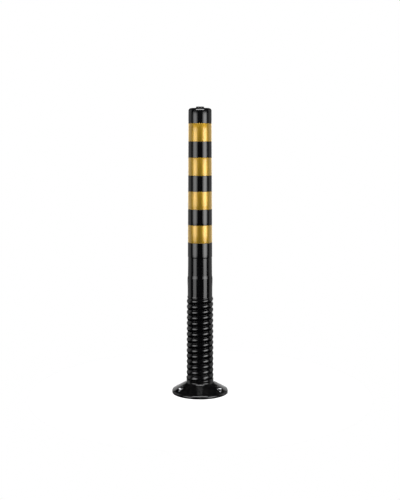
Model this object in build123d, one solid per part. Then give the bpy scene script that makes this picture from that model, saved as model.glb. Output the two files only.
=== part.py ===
from build123d import *

import math
import os

# A flexible delineator post: one hollow flexible moulding with a bolted foot, a helically corrugated
# lower length that bends and springs back, and a slightly tapered upper tube with recessed bands.
# Units are millimetres, +Z is up, and the origin is the centre of the foot's underside.
# The moulding is cut across at five heights, because the corrugated length has to bend between them.

# Post
TOP_Z = 1000.0
TOP_RADIUS = 40.0
TUBE_TAPER = 0.0057  # radius gained for each millimetre down from the top
SHOULDER_RADIUS = 10.0
TOP_THICKNESS = 8.0
TUBE_WALL = 4.0  # behind a recess
FLEX_TOP_Z = 344.0
PLAIN_TOP_Z = 413.0  # top of the plain length above the corrugation
PLAIN_RADIUS = 44.0
RAMP_HEIGHT = 8.0

# Reflective bands, counted down from the top. Below them is one more recess, left empty
BAND_TOP_Z = 948.0
BAND_PITCH = 116.5
BAND_HEIGHT = 62.0
BAND_COUNT = 4
RECESS_DEPTH = 0.8
BAND_THICKNESS = 0.6
BAND_END_GAP = 0.3
EMPTY_TOP_Z = 487.0
EMPTY_SLOPE_HEIGHT = 3.0  # slope at the top of the empty recess

# Corrugated length
FLEX_BOTTOM_Z = 56.0
SPAN_COUNT = 4
SPAN_HEIGHT = (FLEX_TOP_Z - FLEX_BOTTOM_Z) / SPAN_COUNT
HELIX_PITCH = 19.6
HELIX_START_Z = 62.8  # height at which the ridge crosses the +X side
ROOT_RADIUS = 44.1
RIDGE_HEIGHT = 3.6
RIDGE_SHARPNESS = 0.55  # below 1 the crests are broad and the grooves narrow
SECTION_POINTS = 24  # points round each section of the ridge
SECTIONS_PER_PITCH = 10
FLEX_BORE_RADIUS = 38.5

# Foot
FOOT_RADIUS = 100.0
COLLAR_RADIUS = 48.5
CONE_TOP_Z = 37.0  # where the cone's slope would meet the collar
CONE_FOOT_Z = 7.9  # where the cone's slope would meet the rim
COLLAR_FILLET = 6.8
RIM_ROUND = 8.0
FOOT_EDGE_ROUND = 3.0
FOOT_BORE_RADIUS = 36.0
BORE_STEP_LOW_Z = 35.0
BORE_STEP_HIGH_Z = 39.0

# Steel ring moulded into the underside
RING_INNER_RADIUS = 62.0
RING_OUTER_RADIUS = 92.0
RING_THICKNESS = 2.0

# M10 ground fixings
BOLT_COUNT = 3
BOLT_CIRCLE_RADIUS = 77.5
FIRST_BOLT_ANGLE = -30.0
WELL_RADIUS = 15.5
WELL_FLOOR_Z = 11.0
BOLT_RADIUS = 5.0
CLEARANCE_RADIUS = 5.5
HEAD_ACROSS_FLATS = 16.0
HEAD_HEIGHT = 6.4
HEAD_CHAMFER_RADIUS = 7.6
HEAD_CHAMFER_ANGLE = 30.0
SHANK_CHAMFER = 1.0
WASHER_RADIUS = 10.0
WASHER_BORE_RADIUS = 5.3
WASHER_THICKNESS = 2.0
SPRING_WASHER_RADIUS = 8.8
SPRING_WASHER_BORE = 5.2
SPRING_WASHER_THICKNESS = 2.2
SPRING_WASHER_SPLIT = 1.6
SPLIT_SLANT = 30.0

# Top plug
PLUG_HEAD_RADIUS = 14.2
PLUG_HEAD_HEIGHT = 5.0
PLUG_HEAD_ROUND = 2.2
PLUG_HOLE_RADIUS = 10.0
PLUG_SHANK_RADIUS = 9.9
PLUG_BARB_RADIUS = 10.8
PLUG_BARB_HEIGHT = 0.8
PLUG_BARB_PLAY = 0.2  # between the barb and the underside of the tube's top
PLUG_TIP_RADIUS = 8.9
PLUG_LENGTH = 14.0
PLUG_BORE_RADIUS = 7.0
PLUG_SLOT_WIDTH = 2.5
PLUG_SLOT_DEPTH = 12.0

OVERSHOOT = 1.0  # how far a cutting tool runs past the face it starts from


def tube_radius(z):
    """Outer radius of the upper tube at height z."""
    return TOP_RADIUS + (TOP_Z - z) * TUBE_TAPER


def turned(points):
    """A solid turned about Z from a closed outline of (radius, height) points."""
    return revolve(Plane.XZ * make_face(Polyline(*points, close=True)), Axis.Z)


def ring(outer, inner, low, high):
    """A plain ring between two heights."""
    return turned([(inner, low), (outer, low), (outer, high), (inner, high)])


def bolt_angles():
    return [FIRST_BOLT_ANGLE + turn * 360.0 / BOLT_COUNT for turn in range(BOLT_COUNT)]


def at_bolts(solid):
    """Copies of a solid, one on each bolt axis."""
    return [Rot(0, 0, angle) * Pos(BOLT_CIRCLE_RADIUS, 0, 0) * solid for angle in bolt_angles()]


def round_edge(solid, radius, z, size):
    """The solid with its circular edge at that radius and height rounded."""
    edges = solid.edges().filter_by(GeomType.CIRCLE)
    at_height = edges.filter_by_position(Axis.Z, z, z)
    return fillet(at_height.filter_by(lambda edge: math.isclose(edge.radius, radius)), size)


def foot():
    """Flared foot and collar, with three bolt wells, a central bore and a seat for the steel ring."""
    body = turned(
        [
            (FOOT_BORE_RADIUS, 0),
            (FOOT_RADIUS, 0),
            (FOOT_RADIUS, CONE_FOOT_Z),
            (COLLAR_RADIUS, CONE_TOP_Z),
            (COLLAR_RADIUS, FLEX_BOTTOM_Z),
            (FLEX_BORE_RADIUS, FLEX_BOTTOM_Z),
            (FLEX_BORE_RADIUS, BORE_STEP_HIGH_Z),
            (FOOT_BORE_RADIUS, BORE_STEP_LOW_Z),
        ]
    )
    body = round_edge(body, FOOT_RADIUS, 0, FOOT_EDGE_ROUND)
    body = round_edge(body, FOOT_RADIUS, CONE_FOOT_Z, RIM_ROUND)
    body = round_edge(body, COLLAR_RADIUS, CONE_TOP_Z, COLLAR_FILLET)
    body -= ring(RING_OUTER_RADIUS, RING_INNER_RADIUS, -OVERSHOOT, RING_THICKNESS)
    well_height = FLEX_BOTTOM_Z - WELL_FLOOR_Z
    well = Pos(0, 0, WELL_FLOOR_Z + well_height / 2) * Cylinder(WELL_RADIUS, well_height)
    hole = Cylinder(CLEARANCE_RADIUS, 2 * FLEX_BOTTOM_Z)
    for cut in at_bolts(well) + at_bolts(hole):
        body -= cut
    return body


def steel_ring():
    """Flat ring under the bolt wells, which spreads the bolts' load into the soft foot."""
    plate = ring(RING_OUTER_RADIUS, RING_INNER_RADIUS, 0, RING_THICKNESS)
    for hole in at_bolts(Cylinder(CLEARANCE_RADIUS, 4 * RING_THICKNESS)):
        plate -= hole
    return plate


def ridge(turn):
    """Height of the ridge above its root, for a place given as a share of one turn from the crest."""
    return RIDGE_HEIGHT * (0.5 + 0.5 * math.cos(2 * math.pi * turn)) ** RIDGE_SHARPNESS


def ridge_section(z):
    """The corrugated wall's outline at height z. The ridge climbs as a right-handed helix."""
    rise = (z - HELIX_START_Z) / HELIX_PITCH
    points = []
    for step in range(SECTION_POINTS):
        turn = step / SECTION_POINTS
        on_x_side = Vector(ROOT_RADIUS + ridge(turn - rise), 0, z)
        points.append(on_x_side.rotate(Axis.Z, 360 * turn))
    return Wire([Edge.make_spline(points, periodic=True)])


def flex_span(index):
    """One length of the corrugated tube."""
    low = FLEX_BOTTOM_Z + index * SPAN_HEIGHT
    steps = round(SECTIONS_PER_PITCH * SPAN_HEIGHT / HELIX_PITCH)
    wall = Solid.make_loft([ridge_section(low + SPAN_HEIGHT * step / steps) for step in range(steps + 1)])
    return wall - Pos(0, 0, low + SPAN_HEIGHT / 2) * Cylinder(FLEX_BORE_RADIUS, 2 * SPAN_HEIGHT)


def band_heights(index):
    """(low, high) of a band recess, counted down from the top."""
    high = BAND_TOP_Z - index * BAND_PITCH
    return high - BAND_HEIGHT, high


def tapered_ring(low, high, outer_inset, inner_inset):
    """A ring that follows the upper tube's taper, between two insets from its outer face."""
    return turned(
        [
            (tube_radius(low) - inner_inset, low),
            (tube_radius(low) - outer_inset, low),
            (tube_radius(high) - outer_inset, high),
            (tube_radius(high) - inner_inset, high),
        ]
    )


def upper_tube():
    """Hollow upper tube with a rounded closed top, band recesses and a plug hole."""
    ramp_top = PLAIN_TOP_Z + RAMP_HEIGHT
    slope_foot = EMPTY_TOP_Z - EMPTY_SLOPE_HEIGHT
    body = turned(
        [
            (0, FLEX_TOP_Z),
            (PLAIN_RADIUS, FLEX_TOP_Z),
            (PLAIN_RADIUS, PLAIN_TOP_Z),
            (tube_radius(ramp_top) - RECESS_DEPTH, ramp_top),
            (tube_radius(slope_foot) - RECESS_DEPTH, slope_foot),
            (tube_radius(EMPTY_TOP_Z), EMPTY_TOP_Z),
            (TOP_RADIUS, TOP_Z),
            (0, TOP_Z),
        ]
    )
    body = round_edge(body, TOP_RADIUS, TOP_Z, SHOULDER_RADIUS)
    inside_top = TOP_Z - TOP_THICKNESS
    inside_shoulder = inside_top - SHOULDER_RADIUS
    body -= turned(
        [
            (0, FLEX_TOP_Z - OVERSHOOT),
            (FLEX_BORE_RADIUS, FLEX_TOP_Z - OVERSHOOT),
            (FLEX_BORE_RADIUS, PLAIN_TOP_Z),
            (tube_radius(inside_shoulder) - RECESS_DEPTH - TUBE_WALL, inside_shoulder),
            (TOP_RADIUS - SHOULDER_RADIUS, inside_top),
            (0, inside_top),
        ]
    )
    for index in range(BAND_COUNT):
        low, high = band_heights(index)
        body -= tapered_ring(low, high, -OVERSHOOT, RECESS_DEPTH)
    return body - Pos(0, 0, TOP_Z) * Cylinder(PLUG_HOLE_RADIUS, 4 * TOP_THICKNESS)


def reflective_band(index):
    """Sheeting wrapped in its recess, a little below the tube's face and clear of the recess's ends."""
    low, high = band_heights(index)
    return tapered_ring(
        low + BAND_END_GAP, high - BAND_END_GAP, RECESS_DEPTH - BAND_THICKNESS, RECESS_DEPTH
    )


def top_plug():
    """Push-in plug: a round button head, and a split hollow shank with a barb under the tube's top."""
    barb_top = -TOP_THICKNESS - PLUG_BARB_PLAY
    head = round_edge(
        ring(PLUG_HEAD_RADIUS, 0, 0, PLUG_HEAD_HEIGHT), PLUG_HEAD_RADIUS, PLUG_HEAD_HEIGHT, PLUG_HEAD_ROUND
    )
    shank = turned(
        [
            (PLUG_BORE_RADIUS, 0),
            (PLUG_SHANK_RADIUS, 0),
            (PLUG_SHANK_RADIUS, barb_top),
            (PLUG_BARB_RADIUS, barb_top - PLUG_BARB_HEIGHT),
            (PLUG_TIP_RADIUS, -PLUG_LENGTH),
            (PLUG_BORE_RADIUS, -PLUG_LENGTH),
        ]
    )
    slot = Pos(0, 0, PLUG_SLOT_DEPTH / 2 - PLUG_LENGTH) * Box(
        4 * PLUG_HEAD_RADIUS, PLUG_SLOT_WIDTH, PLUG_SLOT_DEPTH
    )
    return Pos(0, 0, TOP_Z) * (head + shank - slot - Rot(0, 0, 90) * slot)


def plain_washer():
    low = WELL_FLOOR_Z
    return ring(WASHER_RADIUS, WASHER_BORE_RADIUS, low, low + WASHER_THICKNESS)


def spring_washer():
    """Split ring between the plain washer and the bolt's head."""
    low = WELL_FLOOR_Z + WASHER_THICKNESS
    coil = ring(SPRING_WASHER_RADIUS, SPRING_WASHER_BORE, low, low + SPRING_WASHER_THICKNESS)
    split = Box(2 * SPRING_WASHER_RADIUS, SPRING_WASHER_SPLIT, 3 * SPRING_WASHER_THICKNESS)
    return coil - Pos(SPRING_WASHER_RADIUS, 0, low) * Rot(SPLIT_SLANT, 0, 0) * split


def hex_bolt():
    """Hexagon head and shank. The shank stops level with the foot's underside."""
    head_low = WELL_FLOOR_Z + WASHER_THICKNESS + SPRING_WASHER_THICKNESS
    head_high = head_low + HEAD_HEIGHT
    corner_radius = HEAD_ACROSS_FLATS / math.sqrt(3)
    hexagon = Pos(0, 0, head_low) * extrude(RegularPolygon(corner_radius, 6), HEAD_HEIGHT)
    chamfer_drop = (corner_radius - HEAD_CHAMFER_RADIUS) * math.tan(math.radians(HEAD_CHAMFER_ANGLE))
    head_limit = turned(
        [
            (0, head_low),
            (corner_radius, head_low),
            (corner_radius, head_high - chamfer_drop),
            (HEAD_CHAMFER_RADIUS, head_high),
            (0, head_high),
        ]
    )
    shank = turned(
        [
            (0, 0),
            (BOLT_RADIUS - SHANK_CHAMFER, 0),
            (BOLT_RADIUS, SHANK_CHAMFER),
            (BOLT_RADIUS, head_low),
            (0, head_low),
        ]
    )
    return (hexagon & head_limit) + shank


def save(name, solids):
    """Writes one node, from one solid or a list of separate ones."""
    shape = Compound(children=solids) if isinstance(solids, list) else solids
    export_step(shape, f"parts/{name}.step")


os.makedirs("parts", exist_ok=True)
save("base_flange", foot())
save("base_reinforcing_ring", steel_ring())
for index in range(SPAN_COUNT):
    save(f"flex_span_{index + 1}", flex_span(index))
save("upper_tube", upper_tube())
for index in range(BAND_COUNT):
    save(f"reflective_band_{index + 1}", reflective_band(index))
save("top_plug", top_plug())
save("anchor_bolts", at_bolts(hex_bolt()))
save("spring_washers", at_bolts(spring_washer()))
save("plain_washers", at_bolts(plain_washer()))
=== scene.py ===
import math

import bmesh
import bpy
from mathutils import Matrix, Vector


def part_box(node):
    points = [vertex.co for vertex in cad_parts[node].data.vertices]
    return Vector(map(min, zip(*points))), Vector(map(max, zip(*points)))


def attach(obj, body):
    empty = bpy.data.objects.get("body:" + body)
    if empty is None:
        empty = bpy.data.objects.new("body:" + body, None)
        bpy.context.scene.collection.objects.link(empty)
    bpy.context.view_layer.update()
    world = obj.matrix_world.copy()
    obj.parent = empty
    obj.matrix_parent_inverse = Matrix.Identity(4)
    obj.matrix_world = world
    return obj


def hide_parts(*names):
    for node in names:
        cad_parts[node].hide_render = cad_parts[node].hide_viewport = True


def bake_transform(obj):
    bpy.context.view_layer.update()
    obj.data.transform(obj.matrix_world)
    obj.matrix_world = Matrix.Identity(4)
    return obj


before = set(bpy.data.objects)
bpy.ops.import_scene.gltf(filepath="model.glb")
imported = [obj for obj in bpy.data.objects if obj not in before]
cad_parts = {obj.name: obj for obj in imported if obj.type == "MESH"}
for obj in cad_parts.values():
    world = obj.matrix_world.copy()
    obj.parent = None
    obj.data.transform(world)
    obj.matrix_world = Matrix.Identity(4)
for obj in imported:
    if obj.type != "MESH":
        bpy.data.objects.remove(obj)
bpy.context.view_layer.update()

MM = 0.001
TURN = 2 * math.pi
COLUMNS = 192  # faces round the moulding
SPANS = 4
BANDS = 4
HAIR = 1e-6  # metres, allowed for rounding when heights are compared


# ---------------------------------------------------------------- places read from the CAD parts


def half_width(node):
    """Half of a CAD node's size along X, which is the radius of a round one."""
    low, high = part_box(node)
    return (high.x - low.x) / 2


def solid_centres(node):
    """Middle of each separate solid in a CAD node, in order round the post."""
    mesh = bmesh.new()
    mesh.from_mesh(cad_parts[node].data)
    bmesh.ops.remove_doubles(mesh, verts=mesh.verts, dist=0.01 * MM)
    left = set(mesh.verts)
    centres = []
    while left:
        island = [left.pop()]
        for vertex in island:
            for edge in vertex.link_edges:
                other = edge.other_vert(vertex)
                if other in left:
                    left.discard(other)
                    island.append(other)
        corners = [[getattr(v.co, axis) for v in island] for axis in "xyz"]
        centres.append(Vector([(min(c) + max(c)) / 2 for c in corners]))
    mesh.free()
    return sorted(centres, key=lambda c: math.atan2(c.y, c.x))


FOOT_LOW, FOOT_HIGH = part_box("base_flange")
TUBE_LOW, TUBE_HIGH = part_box("upper_tube")
FOOT_RADIUS = half_width("base_flange")
FLEX_LOW = FOOT_HIGH.z
FLEX_HIGH = TUBE_LOW.z
SPAN_HEIGHT = (FLEX_HIGH - FLEX_LOW) / SPANS
TOP = TUBE_HIGH.z
PLAIN_RADIUS = half_width("upper_tube")

TOP_BAND_RADIUS = half_width("reflective_band_1")
FIRST_BAND_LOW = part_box("reflective_band_1")[0].z
LAST_BAND_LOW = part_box(f"reflective_band_{BANDS}")[0].z
BAND_SINK = 0.2 * MM  # from the tube's face down to the band's
BAND_END_GAP = 0.3 * MM
RECESS_DEPTH = 0.8 * MM
TAPER = (half_width(f"reflective_band_{BANDS}") - TOP_BAND_RADIUS) / (FIRST_BAND_LOW - LAST_BAND_LOW)

# The ridge, which climbs to the right at the front
PITCH = 19.6 * MM
CREST_Z = 62.8 * MM
RIDGE_BOTTOM = 3.6 * MM
RIDGE_TOP = 3.2 * MM
ROOT_BOTTOM = 45.0 * MM
ROOT_TOP = 43.6 * MM
RIDGE_SHARPNESS = 0.52  # below 1 the crests are broad and the grooves narrow
COLLAR_RADIUS = 48.5 * MM
BORE_RADIUS = 38.5 * MM
FOOT_BORE_RADIUS = 36.0 * MM
RIDGE_STARTS = (47 * MM, 57 * MM)
RIDGE_ENDS = (336 * MM, 349 * MM)
COLLAR_BLEND = (47 * MM, 60 * MM)
PLAIN_BLEND = 6 * MM  # each side of the corrugation's top end
WALL_FROM = BORE_RADIUS + 1 * MM  # outline points nearer the axis belong to the bore
SEAM_FROM = BORE_RADIUS + 2 * MM  # corners nearer the axis keep their own normals
END_FACE = 0.95  # a normal this near to upright belongs to a cut end


def ease(low, high, value):
    """0 below low, 1 above high, and a smooth step between."""
    share = min(1.0, max(0.0, (value - low) / (high - low)))
    return share * share * (3 - 2 * share)


def mix(a, b, share):
    return a + (b - a) * share


def tube_radius(z):
    """Outer radius of the upper tube's lands."""
    return TOP_BAND_RADIUS + BAND_SINK + (FIRST_BAND_LOW - z) * TAPER


def ridge_height(z, angle):
    """How far the ridge stands out of the root at a place on the moulding."""
    wave = 0.5 + 0.5 * math.cos(TURN * (z - CREST_Z) / PITCH - angle)
    height = mix(RIDGE_BOTTOM, RIDGE_TOP, (z - FLEX_LOW) / (FLEX_HIGH - FLEX_LOW))
    shown = ease(*RIDGE_STARTS, z) * (1 - ease(*RIDGE_ENDS, z))
    return height * shown * max(0.0, wave) ** RIDGE_SHARPNESS


def wall_radius(z, angle):
    """Outer radius of the moulding from the collar up to the plain length."""
    root = mix(ROOT_BOTTOM, ROOT_TOP, (z - FLEX_LOW) / (FLEX_HIGH - FLEX_LOW))
    root = mix(COLLAR_RADIUS, root, ease(*COLLAR_BLEND, z))
    root = mix(root, PLAIN_RADIUS, ease(FLEX_HIGH - PLAIN_BLEND, FLEX_HIGH + PLAIN_BLEND, z))
    return root + ridge_height(z, angle)


# ---------------------------------------------------------------- mesh helpers


def new_object(name, data):
    piece = bpy.data.objects.new(name, data)
    bpy.context.scene.collection.objects.link(piece)
    return piece


def rounded(corners, steps=4):
    """An outline of (radius, height) points from (radius, height, fillet) corners, with arcs at the fillets.
    The first and last corners stay sharp, and a fillet takes less than half of the sides beside it."""
    most = 0.49
    points = []
    for index, (r, z, fillet) in enumerate(corners):
        here = Vector((r, z))
        if fillet <= 0 or index in (0, len(corners) - 1):
            points.append(here)
            continue
        before = Vector(corners[index - 1][:2]) - here
        after = Vector(corners[index + 1][:2]) - here
        half = before.angle(after) / 2
        reach = min(fillet / math.tan(half), before.length * most, after.length * most)
        radius = reach * math.tan(half)
        centre = here + (before.normalized() + after.normalized()).normalized() * radius / math.sin(half)
        start = here + before.normalized() * reach - centre
        end = here + after.normalized() * reach - centre
        sweep = start.angle_signed(end)
        for step in range(steps + 1):
            turned = start.copy()
            turned.rotate(Matrix.Rotation(-sweep * step / steps, 2))
            points.append(centre + turned)
    return [tuple(point) for point in points]


def lathe(name, outline, columns=COLUMNS, radius_of=None, closed=True):
    """A mesh turned about Z from an outline of (radius, height) points. A point on the axis is one vertex.
    radius_of(radius, height, angle) may give a point another radius than its outline's."""
    on_axis = 1e-7
    build = bmesh.new()
    rings = []
    for r, z in outline:
        if r < on_axis:
            rings.append([build.verts.new((0, 0, z))] * columns)
            continue
        ring = []
        for column in range(columns):
            angle = TURN * column / columns
            radius = radius_of(r, z, angle) if radius_of else r
            ring.append(build.verts.new((radius * math.cos(angle), radius * math.sin(angle), z)))
        rings.append(ring)
    pairs = list(zip(rings, rings[1:] + rings[:1])) if closed else list(zip(rings, rings[1:]))
    for lower, upper in pairs:
        for column in range(columns):
            after = (column + 1) % columns
            corners = [lower[column], lower[after], upper[after], upper[column]]
            face = list(dict.fromkeys(corners))
            if len(face) > 2:
                build.faces.new(face)
    bmesh.ops.recalc_face_normals(build, faces=build.faces)
    mesh = bpy.data.meshes.new(name)
    build.to_mesh(mesh)
    build.free()
    return new_object(name, mesh)


def smooth(piece, degrees=32):
    """Smooth shading, with edges sharper than the angle kept crisp."""
    for face in piece.data.polygons:
        face.use_smooth = True
    piece.data.set_sharp_from_angle(angle=math.radians(degrees))
    return piece


def cut(piece, tool):
    """Takes a closed tool out of a piece, and removes the tool."""
    boolean = piece.modifiers.new("cut", "BOOLEAN")
    boolean.operation = "DIFFERENCE"
    boolean.solver = "EXACT"
    boolean.object = tool
    graph = bpy.context.evaluated_depsgraph_get()
    mesh = bpy.data.meshes.new_from_object(piece.evaluated_get(graph))
    piece.modifiers.clear()
    piece.data = mesh
    bpy.data.objects.remove(tool)


def finish_piece(piece, material, body, node):
    """Gives a piece its material and hides the CAD node that it stands in for. It rides on the body, unless
    body is None.
    """
    piece.data.materials.clear()
    piece.data.materials.append(material)
    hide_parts(node)
    if body:
        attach(piece, body)


# ---------------------------------------------------------------- materials


class Nodes:
    """Short hand for building one material's nodes."""

    def __init__(self, name):
        self.material = bpy.data.materials.new(name)
        self.material.use_nodes = True
        self.tree = self.material.node_tree
        self.shader = self.tree.nodes["Principled BSDF"]
        self.place = self.add("ShaderNodeTexCoord").outputs["Object"]

    def add(self, kind, **settings):
        node = self.tree.nodes.new(kind)
        for key, value in settings.items():
            setattr(node, key, value)
        return node

    def join(self, source, target):
        self.tree.links.new(source, target)

    def shade(self, **sources):
        """Links sources to the shader's sockets. Base_Color is the socket Base Color."""
        for name, source in sources.items():
            self.join(source, self.shader.inputs[name.replace("_", " ")])

    def hold(self, **values):
        """Sets constants on the shader's own sockets."""
        for name, value in values.items():
            self.shader.inputs[name.replace("_", " ")].default_value = value

    def value(self, socket, value):
        """Links a socket's source, or sets a constant on it."""
        if isinstance(value, bpy.types.NodeSocket):
            self.join(value, socket)
        else:
            socket.default_value = value

    def maths(self, operation, a, b=0.0, c=0.0):
        node = self.add("ShaderNodeMath", operation=operation)
        for socket, value in zip(node.inputs, (a, b, c)):
            self.value(socket, value)
        return node.outputs[0]

    def noise(self, scale, detail=3.0, roughness=0.5, stretch=(1, 1, 1)):
        mapping = self.add("ShaderNodeMapping")
        mapping.inputs["Scale"].default_value = stretch
        self.join(self.place, mapping.inputs["Vector"])
        node = self.add("ShaderNodeTexNoise")
        self.join(mapping.outputs[0], node.inputs["Vector"])
        node.inputs["Scale"].default_value = scale
        node.inputs["Detail"].default_value = detail
        node.inputs["Roughness"].default_value = roughness
        return node.outputs["Fac"]

    def spread(self, source, low, high, out_low=0.0, out_high=1.0):
        """Maps low..high to out_low..out_high, and holds it there."""
        node = self.add("ShaderNodeMapRange", clamp=True)
        node.inputs["From Min"].default_value = low
        node.inputs["From Max"].default_value = high
        node.inputs["To Min"].default_value = out_low
        node.inputs["To Max"].default_value = out_high
        self.value(node.inputs["Value"], source)
        return node.outputs["Result"]

    def blend(self, share, a, b):
        """Colour a at share 0 and colour b at share 1."""
        node = self.add("ShaderNodeMix", data_type="RGBA")
        self.value(node.inputs["Factor"], share)
        self.value(node.inputs["A"], a if isinstance(a, bpy.types.NodeSocket) else (*a, 1))
        self.value(node.inputs["B"], b if isinstance(b, bpy.types.NodeSocket) else (*b, 1))
        return node.outputs["Result"]

    def bump(self, height, distance, strength, under=None):
        node = self.add("ShaderNodeBump")
        node.inputs["Strength"].default_value = strength
        node.inputs["Distance"].default_value = distance
        self.join(height, node.inputs["Height"])
        if under is not None:
            self.join(under, node.inputs["Normal"])
        return node.outputs["Normal"]

    def axes(self):
        node = self.add("ShaderNodeSeparateXYZ")
        self.join(self.place, node.inputs[0])
        return node.outputs


PLASTIC_IOR = 1.5
BLACK_SHADES = ((0.0010, 0.0010, 0.0012), (0.0018, 0.0018, 0.0020))
DUST_COLOUR = (0.030, 0.028, 0.026)
DUST_TOP = 90 * MM  # dust thins out up to this height
SCUFF_COLOUR = (0.012, 0.012, 0.013)
PARTING_LINE_REACH = 0.5 * MM  # to each side of its middle


def black_moulding():
    """Glossy black flexible plastic: faint flow marks, fine scuffs, parting lines, and dust low down."""
    m = Nodes("black_moulding")
    _, y, z = m.axes()
    flow = m.noise(scale=14, stretch=(1, 1, 0.35))
    scuffs = m.spread(m.noise(scale=900, detail=2, roughness=0.6, stretch=(1, 1, 0.12)), 0.60, 0.74)
    patches = m.spread(m.noise(scale=9, detail=4, roughness=0.6), 0.52, 0.72)
    scuffed = m.maths("MULTIPLY", scuffs, patches)
    low_down = m.spread(z, DUST_TOP, 0.0)
    dust = m.maths("MULTIPLY", low_down, m.spread(m.noise(scale=70, detail=5, roughness=0.65), 0.45, 0.75))
    clean = m.blend(m.spread(flow, 0.35, 0.7), *BLACK_SHADES)
    dusty = m.blend(m.maths("MULTIPLY", dust, 0.22), clean, DUST_COLOUR)
    gloss = m.spread(flow, 0.3, 0.75, out_low=0.09, out_high=0.13)
    worn = m.maths("MULTIPLY_ADD", scuffed, 0.18, gloss)
    skin = m.bump(m.noise(scale=260), distance=0.06 * MM, strength=0.35)
    ripple_noise = m.noise(scale=18, detail=2, stretch=(1, 1, 0.4))
    ripple = m.bump(ripple_noise, distance=0.6 * MM, strength=0.25, under=skin)
    line = m.spread(m.maths("ABSOLUTE", y), 0.0, PARTING_LINE_REACH, out_low=1.0, out_high=0.0)
    m.shade(
        Base_Color=m.blend(m.maths("MULTIPLY", scuffed, 0.25), dusty, SCUFF_COLOUR),
        Roughness=m.maths("MULTIPLY_ADD", dust, 0.14, worn),
        Normal=m.bump(line, distance=0.12 * MM, strength=0.6, under=ripple),
    )
    m.hold(IOR=PLASTIC_IOR)
    return m.material


PLUG_SHADES = ((0.0010, 0.0010, 0.0012), (0.0022, 0.0022, 0.0024))


def plug_plastic():
    """The same black as the moulding, a little duller, with a moulded-in swirl."""
    m = Nodes("plug_plastic")
    swirl = m.noise(scale=60, detail=4, roughness=0.6, stretch=(1, 1, 0.3))
    m.shade(
        Base_Color=m.blend(m.spread(swirl, 0.35, 0.7), *PLUG_SHADES),
        Roughness=m.spread(swirl, 0.3, 0.75, out_low=0.14, out_high=0.24),
        Normal=m.bump(m.noise(scale=420), distance=0.05 * MM, strength=0.3),
    )
    m.hold(IOR=PLASTIC_IOR)
    return m.material


CELL = 3.4 * MM  # one sealed cell of the sheeting, across its flats
CELL_WALL = 0.09  # share of a cell taken by its wall
SHEETING_SHADES = ((0.31, 0.176, 0.007), (0.35, 0.200, 0.009))
CELL_WALL_COLOUR = (0.46, 0.28, 0.020)
SHEEN_COLOUR = (1.0, 0.70, 0.25, 1)


def cell_walls(m):
    """1 on the walls of square cells laid cornerwise round the band, and 0 inside the cells."""
    x, y, z = m.axes()
    around = m.maths("MULTIPLY", m.maths("ARCTAN2", y, x), half_width("reflective_band_2"))
    walls = []
    for operation in ("ADD", "SUBTRACT"):
        across = m.maths("DIVIDE", m.maths(operation, around, z), CELL * math.sqrt(2))
        off_middle = m.maths("ABSOLUTE", m.maths("SUBTRACT", m.maths("FRACT", across), 0.5))
        walls.append(m.spread(off_middle, 0.5 - CELL_WALL, 0.5 - CELL_WALL / 3))
    return m.maths("MAXIMUM", *walls)


def reflective_sheeting():
    """Yellow microprismatic sheeting: sealed cells under a clear film, a little uneven and scratched."""
    m = Nodes("reflective_sheeting")
    walls = cell_walls(m)
    face = m.blend(m.spread(m.noise(scale=22, detail=4, roughness=0.6), 0.35, 0.7), *SHEETING_SHADES)
    scratches = m.spread(m.noise(scale=700, detail=2, roughness=0.6, stretch=(0.15, 0.15, 1)), 0.62, 0.75)
    cells = m.bump(walls, distance=0.04 * MM, strength=0.5)
    m.shade(
        Base_Color=m.blend(walls, face, CELL_WALL_COLOUR),
        Roughness=m.spread(scratches, 0.0, 1.0, out_low=0.38, out_high=0.48),
        Normal=m.bump(m.noise(scale=30, detail=2), distance=0.4 * MM, strength=0.25, under=cells),
        Coat_Normal=m.bump(m.noise(scale=25, detail=2), distance=0.4 * MM, strength=0.15),
    )
    m.hold(
        Metallic=0.85,
        Sheen_Weight=0.85,
        Sheen_Roughness=0.45,
        Sheen_Tint=SHEEN_COLOUR,
        Coat_Weight=1.0,
        Coat_Roughness=0.10,
        Coat_IOR=PLASTIC_IOR,
    )
    return m.material


ZINC_SHADES = ((0.78, 0.79, 0.82), (0.90, 0.91, 0.93))
DULL_ZINC = (0.55, 0.55, 0.57)


def zinc_steel():
    """Bright zinc plate: mottled spangle, turned marks and a little dulling."""
    m = Nodes("zinc_steel")
    spangle = m.spread(m.noise(scale=340, roughness=0.55), 0.35, 0.68)
    dull = m.spread(m.noise(scale=90, detail=4, roughness=0.6), 0.45, 0.72)
    bright = m.blend(spangle, *ZINC_SHADES)
    polish = m.spread(spangle, 0.0, 1.0, out_low=0.17, out_high=0.24)
    marks = m.noise(scale=1500, roughness=0.6, stretch=(1, 1, 4))
    m.shade(
        Base_Color=m.blend(m.maths("MULTIPLY", dull, 0.3), bright, DULL_ZINC),
        Roughness=m.maths("MULTIPLY_ADD", dull, 0.10, polish),
        Normal=m.bump(marks, distance=0.03 * MM, strength=0.5),
    )
    m.hold(Metallic=1.0)
    return m.material


BLACK = black_moulding()
PLUG = plug_plastic()
YELLOW = reflective_sheeting()
STEEL = zinc_steel()


# ---------------------------------------------------------------- the moulding

ROWS_PER_PITCH = 24
BORE_ROWS = 12  # faces up the bore of one span, enough for it to bend smoothly


def outer_wall(low, high):
    """Outline points on the outer wall, close enough together to carry the ridge. Their radius is worked
    out round the post by on_wall."""
    count = max(1, round((high - low) / (PITCH / ROWS_PER_PITCH)))
    return [(COLLAR_RADIUS, mix(low, high, step / count)) for step in range(count + 1)]


def on_wall(low, high):
    """A radius function that puts outline points on the corrugated wall between two heights."""

    def radius(r, z, angle):
        outside = r >= WALL_FROM and low - HAIR <= z <= high + HAIR
        return wall_radius(z, angle) if outside else r

    return radius


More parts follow.
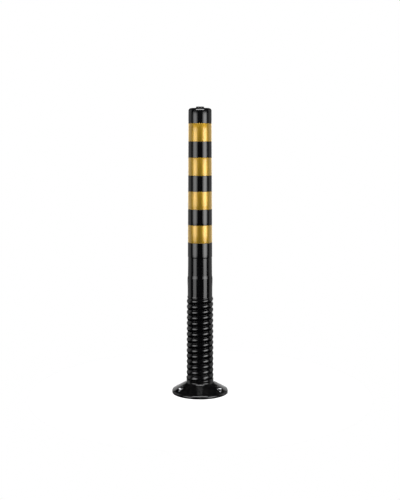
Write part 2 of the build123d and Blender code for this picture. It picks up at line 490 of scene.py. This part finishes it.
def wall_normal(z, angle):
    """Outward normal of the corrugated wall."""
    step = 0.05 * MM
    turn = 0.001
    radius = wall_radius(z, angle)
    rise = (wall_radius(z + step, angle) - wall_radius(z - step, angle)) / (2 * step)
    swing = (wall_radius(z, angle + turn) - wall_radius(z, angle - turn)) / (2 * turn * radius)
    out = Vector((math.cos(angle), math.sin(angle), 0))
    along = Vector((-math.sin(angle), math.cos(angle), 0))
    return (out - along * swing - Vector((0, 0, rise))).normalized()


def match_seams(piece, low, high):
    """Sets the true normals on the corrugated wall, so that neighbouring pieces shade as one surface."""
    mesh = piece.data
    normals = [Vector(n.vector) for n in mesh.corner_normals]
    for loop in mesh.loops:
        place = mesh.vertices[loop.vertex_index].co
        radius = math.hypot(place.x, place.y)
        flat_end = abs(normals[loop.index].z) > END_FACE
        if low - HAIR <= place.z <= high + HAIR and radius > SEAM_FROM and not flat_end:
            normals[loop.index] = wall_normal(place.z, math.atan2(place.y, place.x))
    mesh.normals_split_custom_set(normals)


def flex_piece(index):
    """One span of the corrugated wall. It rides on no body."""
    low = FLEX_LOW + index * SPAN_HEIGHT
    high = low + SPAN_HEIGHT
    bore = [(BORE_RADIUS, mix(high, low, step / BORE_ROWS)) for step in range(BORE_ROWS + 1)]
    piece = lathe(f"corrugated_span_{index + 1}", outer_wall(low, high) + bore, radius_of=on_wall(low, high))
    match_seams(smooth(piece), low, high)
    finish_piece(piece, BLACK, None, f"flex_span_{index + 1}")
    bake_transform(piece)


CONE_TOP = 38.3 * MM  # where the cone's slope would meet the collar
CONE_FOOT = 9.0 * MM  # where the cone's slope would meet the rim
COLLAR_FILLET = 14 * MM
COLLAR_LOW = 47 * MM  # bottom of the length that wall_radius shapes
RIM_ROUND = 8 * MM
FOOT_EDGE_ROUND = 3 * MM
BORE_EDGE_ROUND = 0.8 * MM
BORE_STEP_LOW = 34 * MM
BORE_STEP_HIGH = 38 * MM
RING_WIDTH = 30 * MM
WELL_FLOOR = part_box("plain_washers")[0].z
WELL_RADIUS = 15.5 * MM
WELL_FILLET = 0.8 * MM
CLEARANCE_RADIUS = 5.5 * MM
TOOL_COLUMNS = 64


def foot_piece():
    """The flared foot and collar, with three wells cut in and a seat for the steel ring."""
    ring_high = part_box("base_reinforcing_ring")[1]
    ring_radius = half_width("base_reinforcing_ring")
    ring_inner = ring_radius - RING_WIDTH
    corners = [
        (FOOT_BORE_RADIUS, ring_high.z, 0),
        (FOOT_BORE_RADIUS, FOOT_LOW.z, BORE_EDGE_ROUND),
        (ring_inner, 0, 0),
        (ring_inner, ring_high.z, 0),
        (ring_radius, ring_high.z, 0),
        (ring_radius, 0, 0),
        (FOOT_RADIUS, 0, FOOT_EDGE_ROUND),
        (FOOT_RADIUS, CONE_FOOT, RIM_ROUND),
        (COLLAR_RADIUS, CONE_TOP, COLLAR_FILLET),
        (COLLAR_RADIUS, COLLAR_LOW, 0),
    ]
    outline = rounded(corners, steps=12) + outer_wall(COLLAR_LOW, FLEX_LOW)[1:]
    outline += [(BORE_RADIUS, FLEX_LOW), (BORE_RADIUS, BORE_STEP_HIGH), (FOOT_BORE_RADIUS, BORE_STEP_LOW)]
    piece = lathe("foot_moulding", outline, radius_of=on_wall(COLLAR_LOW, FLEX_LOW))
    for centre in solid_centres("anchor_bolts"):
        cut_well(piece, centre)
    match_seams(smooth(piece, degrees=38), COLLAR_LOW, FLEX_LOW)
    finish_piece(piece, BLACK, "base", "base_flange")


def cut_well(piece, centre):
    """Cuts one bolt's well, and the clearance hole through its floor."""
    well = [
        (0, WELL_FLOOR, 0),
        (WELL_RADIUS, WELL_FLOOR, WELL_FILLET),
        (WELL_RADIUS, FLEX_HIGH, 0),
        (0, FLEX_HIGH, 0),
    ]
    hole = [(0, -WELL_FLOOR), (CLEARANCE_RADIUS, -WELL_FLOOR), (CLEARANCE_RADIUS, FLEX_LOW), (0, FLEX_LOW)]
    for name, outline in (("well", rounded(well)), ("hole", hole)):
        tool = lathe(name, outline, TOOL_COLUMNS, closed=False)
        tool.location = (centre.x, centre.y, 0)
        cut(piece, tool)


RECESS_EDGE = 0.35 * MM
EMPTY_TOP = 487 * MM  # top of the recess with no band
EMPTY_SLOPE = 3 * MM
EMPTY_SLOPE_ROUND = 4 * MM
RAMP_LOW = 413 * MM
RAMP_HIGH = 421 * MM
RAMP_ROUND = 12 * MM
JOIN_HIGH = FLEX_HIGH + 8 * MM  # top of the length that wall_radius shapes
SHOULDER_ROUND = 10 * MM
TOP_THICKNESS = 8 * MM
INNER_SHOULDER = 8 * MM
INNER_INSETS = (5 * MM, 10 * MM)  # at the bottom and top of the inner shoulder
PLUG_HOLE_RADIUS = 10 * MM
PLUG_HOLE_EDGE = 0.4 * MM


def recess_corners(low, high):
    """Outline corners of one shallow recess, from its top edge down."""
    return [
        (tube_radius(high), high, RECESS_EDGE),
        (tube_radius(high) - RECESS_DEPTH, high, RECESS_EDGE),
        (tube_radius(low) - RECESS_DEPTH, low, RECESS_EDGE),
        (tube_radius(low), low, RECESS_EDGE),
    ]


def upper_piece():
    """The plain length, the soft ramp, the tapered tube with its recesses, and the rounded closed top."""
    corners = [
        (PLUG_HOLE_RADIUS, TOP, 0),
        (PLUG_HOLE_RADIUS + PLUG_HOLE_EDGE, TOP, 0),
        (tube_radius(TOP), TOP, SHOULDER_ROUND),
    ]
    for number in range(1, BANDS + 1):
        low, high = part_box(f"reflective_band_{number}")
        corners += recess_corners(low.z - BAND_END_GAP, high.z + BAND_END_GAP)
    slope_foot = EMPTY_TOP - EMPTY_SLOPE
    corners += [
        (tube_radius(EMPTY_TOP), EMPTY_TOP, EMPTY_SLOPE_ROUND),
        (tube_radius(slope_foot) - RECESS_DEPTH, slope_foot, EMPTY_SLOPE_ROUND),
        (tube_radius(RAMP_HIGH) - RECESS_DEPTH, RAMP_HIGH, RAMP_ROUND),
        (PLAIN_RADIUS, RAMP_LOW, RAMP_ROUND),
        (PLAIN_RADIUS, JOIN_HIGH, 0),
    ]
    inner_top = TOP - TOP_THICKNESS
    low_inset, high_inset = INNER_INSETS
    outline = rounded(corners, steps=6) + outer_wall(FLEX_HIGH, JOIN_HIGH)[::-1][1:]
    outline += [
        (BORE_RADIUS, FLEX_HIGH),
        (BORE_RADIUS, RAMP_LOW),
        (tube_radius(TOP) - low_inset, inner_top - INNER_SHOULDER),
        (tube_radius(TOP) - high_inset, inner_top),
        (PLUG_HOLE_RADIUS, inner_top),
    ]
    piece = lathe("upper_moulding", outline, radius_of=on_wall(FLEX_HIGH, JOIN_HIGH))
    match_seams(smooth(piece), FLEX_HIGH, JOIN_HIGH)
    finish_piece(piece, BLACK, "post", "upper_tube")


# ---------------------------------------------------------------- the pieces on the moulding

BAND_COLUMNS = 256
BAND_EDGE = 0.15 * MM
LAP_ANGLE = math.radians(14)
LAP_LIFT = 0.15 * MM
LAP_FALL = 0.03  # radians over which the lap's edge drops to the layer below
LAP_START = math.radians(97)  # a little to one side of the back


def band_piece(number):
    """Sheeting wrapped once round its recess, its end lapped over its start at the back."""
    node = f"reflective_band_{number}"
    low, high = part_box(node)
    sheet = RECESS_DEPTH - BAND_SINK
    high_radius = tube_radius(high.z) - BAND_SINK
    low_radius = tube_radius(low.z) - BAND_SINK

    def lapped(r, z, angle):
        past = (angle - LAP_START) % TURN
        return r + LAP_LIFT * (1 - ease(LAP_ANGLE, LAP_ANGLE + LAP_FALL, past))

    corners = [
        (high_radius - sheet / 2, high.z, 0),
        (high_radius, high.z, BAND_EDGE),
        (low_radius, low.z, BAND_EDGE),
        (low_radius - sheet / 2, low.z, 0),
    ]
    outline = rounded(corners, steps=3) + [(low_radius - sheet, low.z), (high_radius - sheet, high.z)]
    piece = smooth(lathe(f"reflective_sheet_{number}", outline, BAND_COLUMNS, radius_of=lapped))
    finish_piece(piece, YELLOW, "post", node)


PLUG_COLUMNS = 96
DISH_DEPTH = 0.5 * MM
DISH_FOOT_INSET = 6.2 * MM  # the dish's slope, in from the head's edge
DISH_TOP_INSET = 4.6 * MM
DISH_FOOT_ROUND = 2 * MM
DISH_TOP_ROUND = 1.2 * MM
HEAD_ROUND = 2.4 * MM
HEAD_UNDERCUT = 0.5 * MM  # inwards, where the head meets the tube
HEAD_LOW = TOP + 0.3 * MM
SHANK_RADIUS = 9.9 * MM
BARB_HIGH = TOP - 8.2 * MM
BARB_LOW = TOP - 9.0 * MM
BARB_WIDTH = 0.9 * MM
TIP_INSET = 1.0 * MM
TIP_ROUND = 0.4 * MM
SHANK_BORE_RADIUS = 7 * MM
SHANK_BORE_TOP = TOP - 2 * MM
SHANK_BORE_ROUND = 0.5 * MM
SMALL_ROUND = 0.3 * MM


def plug_piece():
    """Button head with a rolled edge and a shallow dish, and a hollow barbed shank down into the tube."""
    low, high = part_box("top_plug")
    radius = half_width("top_plug")
    corners = [
        (0, high.z - DISH_DEPTH, 0),
        (radius - DISH_FOOT_INSET, high.z - DISH_DEPTH, DISH_FOOT_ROUND),
        (radius - DISH_TOP_INSET, high.z, DISH_TOP_ROUND),
        (radius, high.z, HEAD_ROUND),
        (radius, HEAD_LOW, SMALL_ROUND),
        (radius - HEAD_UNDERCUT, TOP, 0),
        (SHANK_RADIUS, TOP, 0),
        (SHANK_RADIUS, BARB_HIGH, SMALL_ROUND),
        (SHANK_RADIUS + BARB_WIDTH, BARB_LOW, SMALL_ROUND),
        (SHANK_RADIUS - TIP_INSET, low.z, TIP_ROUND),
        (SHANK_BORE_RADIUS, low.z, SMALL_ROUND),
        (SHANK_BORE_RADIUS, SHANK_BORE_TOP, SHANK_BORE_ROUND),
        (0, SHANK_BORE_TOP, 0),
    ]
    piece = smooth(lathe("plug_button", rounded(corners, steps=6), PLUG_COLUMNS, closed=False))
    finish_piece(piece, PLUG, "post", "top_plug")


BOLT_COLUMNS = 96
BOLT_CREASE = 25  # degrees
BOLT_TURN = 0.35  # radians that each head is turned past the one before
HEAD_CORNER = 16 / math.sqrt(3) * MM  # the head is 16 mm across its flats
HEAD_FLAT = 8 * MM
CHAMFER_RADIUS = 7.6 * MM
CHAMFER_ANGLE = math.radians(30)
CHAMFER_STEPS = (0.35, 0.7)  # rings on the chamfer, which let the flats cut it in curves
TOP_EDGE_INSET = 0.2 * MM
TOP_EDGE_DROP = 0.06 * MM
HEAD_EDGE_INSET = 0.25 * MM
HEAD_EDGE_HIGH = 0.7 * MM  # these four are heights over the washers
HEAD_EDGE_LOW = 0.35 * MM
WASHER_FACE = 0.3 * MM
HEXAGON_LOW = 0.2 * MM
HEXAGON_RADIUS = 7.7 * MM  # points nearer the axis are round
WASHER_FACE_RADIUS = 7.6 * MM
BOLT_RADIUS = 5 * MM
THREADS = 10
THREAD_DEPTH = 0.55 * MM
THREAD_TOP_GAP = 0.6 * MM
THREAD_LOW = 0.8 * MM
TIP_RADIUS = 4 * MM
TIP_LOW = 0.1 * MM


def bolt_piece(number, centre):
    """Hexagon bolt with a chamfered head, a washer face under it and a thread shown as plain rings."""
    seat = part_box("spring_washers")[1].z
    head_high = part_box("anchor_bolts")[1].z
    drop = (HEAD_CORNER - CHAMFER_RADIUS) * math.tan(CHAMFER_ANGLE)

    def hexagon(r, z, angle):
        if r < HEXAGON_RADIUS or z < seat + HEXAGON_LOW:
            return r
        off_middle = (angle % (TURN / 6)) - TURN / 12
        return min(r, HEAD_FLAT / math.cos(off_middle))

    outline = [
        (0, head_high),
        (CHAMFER_RADIUS - TOP_EDGE_INSET, head_high),
        (CHAMFER_RADIUS, head_high - TOP_EDGE_DROP),
    ]
    for share in CHAMFER_STEPS:
        outline.append((mix(CHAMFER_RADIUS, HEAD_CORNER, share), head_high - drop * share))
    outline += [
        (HEAD_CORNER, head_high - drop),
        (HEAD_CORNER, seat + HEAD_EDGE_HIGH),
        (HEAD_CORNER - HEAD_EDGE_INSET, seat + HEAD_EDGE_LOW),
        (WASHER_FACE_RADIUS, seat + WASHER_FACE),
        (WASHER_FACE_RADIUS, seat),
        (BOLT_RADIUS, seat),
    ]
    rings = THREADS * 2
    for step in range(rings):
        depth = THREAD_DEPTH * (step % 2)
        outline.append((BOLT_RADIUS - depth, mix(seat - THREAD_TOP_GAP, THREAD_LOW, step / (rings - 1))))
    outline += [(TIP_RADIUS, TIP_LOW), (0, TIP_LOW)]
    piece = lathe(f"hex_bolt_{number}", outline, BOLT_COLUMNS, radius_of=hexagon, closed=False)
    set_at_bolt(piece, centre, BOLT_TURN * number)
    smooth(piece, BOLT_CREASE)
    finish_piece(piece, STEEL, "base", "anchor_bolts")


def set_at_bolt(piece, centre, turn):
    """Turns a fastener about its own axis and moves it to a bolt's place."""
    piece.data.transform(Matrix.Translation((centre.x, centre.y, 0)) @ Matrix.Rotation(turn, 4, "Z"))


WASHER_COLUMNS = 72
WASHER_EDGE = 0.3 * MM
WASHER_TURN = 1.1  # radians that each washer is turned past the one before
FLAT_WASHER = (10 * MM, 5.3 * MM)  # outer and inner radius
SPRING_WASHER = (8.8 * MM, 5.2 * MM)
SPLIT_WIDTH = 1.6 * MM
SPLIT_SLANT = math.radians(30)


def washer_piece(name, number, centre, node, radii, split=False):
    """A plain washer, or a spring washer, which is cut through by a slanted split."""
    low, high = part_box(node)
    outer, inner = radii
    middle = (low.z + high.z) / 2
    corners = [
        (inner, middle, 0),
        (inner, low.z, WASHER_EDGE),
        (outer, low.z, WASHER_EDGE),
        (outer, high.z, WASHER_EDGE),
        (inner, high.z, WASHER_EDGE),
        (inner, middle, 0),
    ]
    piece = lathe(f"{name}_{number}", rounded(corners)[:-1], WASHER_COLUMNS)
    if split:
        cut(piece, split_tool(outer, middle, high.z - low.z))
    set_at_bolt(piece, centre, WASHER_TURN * number)
    smooth(piece)
    finish_piece(piece, STEEL, "base", node)


def split_tool(outer, middle, thickness):
    """A thin slab, leaning over, that parts one side of a spring washer."""
    build = bmesh.new()
    bmesh.ops.create_cube(build, size=1.0)
    mesh = bpy.data.meshes.new("split")
    build.to_mesh(mesh)
    build.free()
    mesh.transform(Matrix.Diagonal((outer, SPLIT_WIDTH, 4 * thickness, 1)))
    tool = new_object("split", mesh)
    tool.location = (outer, 0, middle)
    tool.rotation_euler = (SPLIT_SLANT, 0, 0)
    return tool


# ---------------------------------------------------------------- build

foot_piece()
for index in range(SPANS):
    flex_piece(index)
upper_piece()
for number in range(1, BANDS + 1):
    band_piece(number)
plug_piece()
for number, centre in enumerate(solid_centres("anchor_bolts"), 1):
    bolt_piece(number, centre)
    washer_piece("flat_washer", number, centre, "plain_washers", FLAT_WASHER)
    washer_piece("split_washer", number, centre, "spring_washers", SPRING_WASHER, split=True)
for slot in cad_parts["base_reinforcing_ring"].material_slots:
    slot.material = STEEL


# ---------------------------------------------------------------- stage, lights and camera

CAMERA_DISTANCE = 3.082
CAMERA_HEIGHT = 0.891
CAMERA_TILT = math.radians(7.06)
LENS = 63.9  # millimetres, as is the sensor's width
SENSOR_WIDTH = 36
FLOOR_RADIUS = 0.6
FLOOR_SHADES = ((0.88, 0.88, 0.88), (0.90, 0.90, 0.90))
FRONT_AZIMUTH = 49  # degrees, of the soft boxes each side of the camera
SIDE_AZIMUTH = 112
BACK_AZIMUTH = 180
DIM = (0.004, 0.004, 0.004, 1)
WHITE = (1, 1, 1, 1)


def soft_box(name, azimuth, distance, height, size, radiance):
    """An upright soft box facing the post. Azimuth is counted from the camera's side round to the right."""
    turn = math.radians(azimuth)
    place = Vector((distance * math.sin(turn), -distance * math.cos(turn), height))
    return panel_light(name, place, Vector((0, 0, height)), size, radiance)


def panel_light(name, place, aim, size, radiance):
    """A rectangular light of even brightness, which the camera doesn't see."""
    data = bpy.data.lights.new(name, "AREA")
    data.shape = "RECTANGLE"
    data.size, data.size_y = size
    data.energy = radiance * size[0] * size[1] * math.pi
    light = new_object(name, data)
    light.location = place
    light.rotation_euler = (aim - place).to_track_quat("-Z", "Y").to_euler()
    light.visible_camera = False
    return light


def pale_floor():
    """A plain pale disc. It doesn't show in the gloss and casts no shadow, so low lights shine through it."""
    bpy.ops.mesh.primitive_circle_add(vertices=128, radius=FLOOR_RADIUS, fill_type="NGON", location=(0, 0, 0))
    floor = bpy.context.object
    floor.name = "floor"
    m = Nodes("pale_floor")
    m.shade(Base_Color=m.blend(m.noise(scale=2, detail=2), *FLOOR_SHADES))
    m.hold(Roughness=0.9, Specular_IOR_Level=0.1)
    floor.data.materials.append(m.material)
    floor.visible_glossy = False
    floor.visible_shadow = False


def studio():
    """Soft boxes and a side panel on each hand, three panels behind, a box overhead and a floor light."""
    for side, wide, narrow in ((-1, 1.6, 2.4), (1, 2.0, 3.9)):
        front = side * FRONT_AZIMUTH
        soft_box(f"wide_box_{side}", front, distance=2.2, height=0.72, size=(2.0, 1.06), radiance=wide)
        soft_box(f"narrow_box_{side}", front, distance=2.1, height=0.55, size=(1.1, 1.4), radiance=narrow)
        beside = side * SIDE_AZIMUTH
        soft_box(f"side_panel_{side}", beside, distance=2.6, height=0.9, size=(1.9, 3.2), radiance=0.52)
    soft_box("back_panel", BACK_AZIMUTH, distance=2.6, height=0.62, size=(3.6, 1.2), radiance=0.8)
    soft_box("low_back_panel", BACK_AZIMUTH, distance=2.6, height=-0.5, size=(3.6, 0.9), radiance=1.4)
    soft_box("high_back_panel", BACK_AZIMUTH, distance=2.5, height=0.76, size=(1.0, 0.5), radiance=2.6)
    overhead = Vector((0, -0.86, 2.06))
    panel_light("overhead_box", overhead, aim=Vector((0, 0, 1)), size=(1.8, 0.70), radiance=13.0)
    above = Vector((0, 0, 3.0))
    fill = panel_light("floor_light", above, aim=Vector((0, 0, 0)), size=(3.0, 3.0), radiance=2.2)
    fill.visible_glossy = False


def surround():
    """A World that is white to the camera and nearly black to everything else."""
    world = bpy.data.worlds.new("surround")
    bpy.context.scene.world = world
    world.use_nodes = True
    tree = world.node_tree
    seen = tree.nodes.new("ShaderNodeLightPath")
    shade = tree.nodes.new("ShaderNodeMix")
    shade.data_type = "RGBA"
    shade.inputs["A"].default_value = DIM
    shade.inputs["B"].default_value = WHITE
    tree.links.new(seen.outputs["Is Camera Ray"], shade.inputs["Factor"])
    tree.links.new(shade.outputs["Result"], tree.nodes["Background"].inputs["Color"])


def camera():
    data = bpy.data.cameras.new("camera")
    data.lens = LENS
    data.sensor_width = SENSOR_WIDTH
    cam = new_object("camera", data)
    cam.location = (0, -CAMERA_DISTANCE, CAMERA_HEIGHT)
    cam.rotation_euler = (math.radians(90) - CAMERA_TILT, 0, 0)
    bpy.context.scene.camera = cam


pale_floor()
studio()
surround()
camera()
bpy.context.scene.view_settings.view_transform = "Standard"
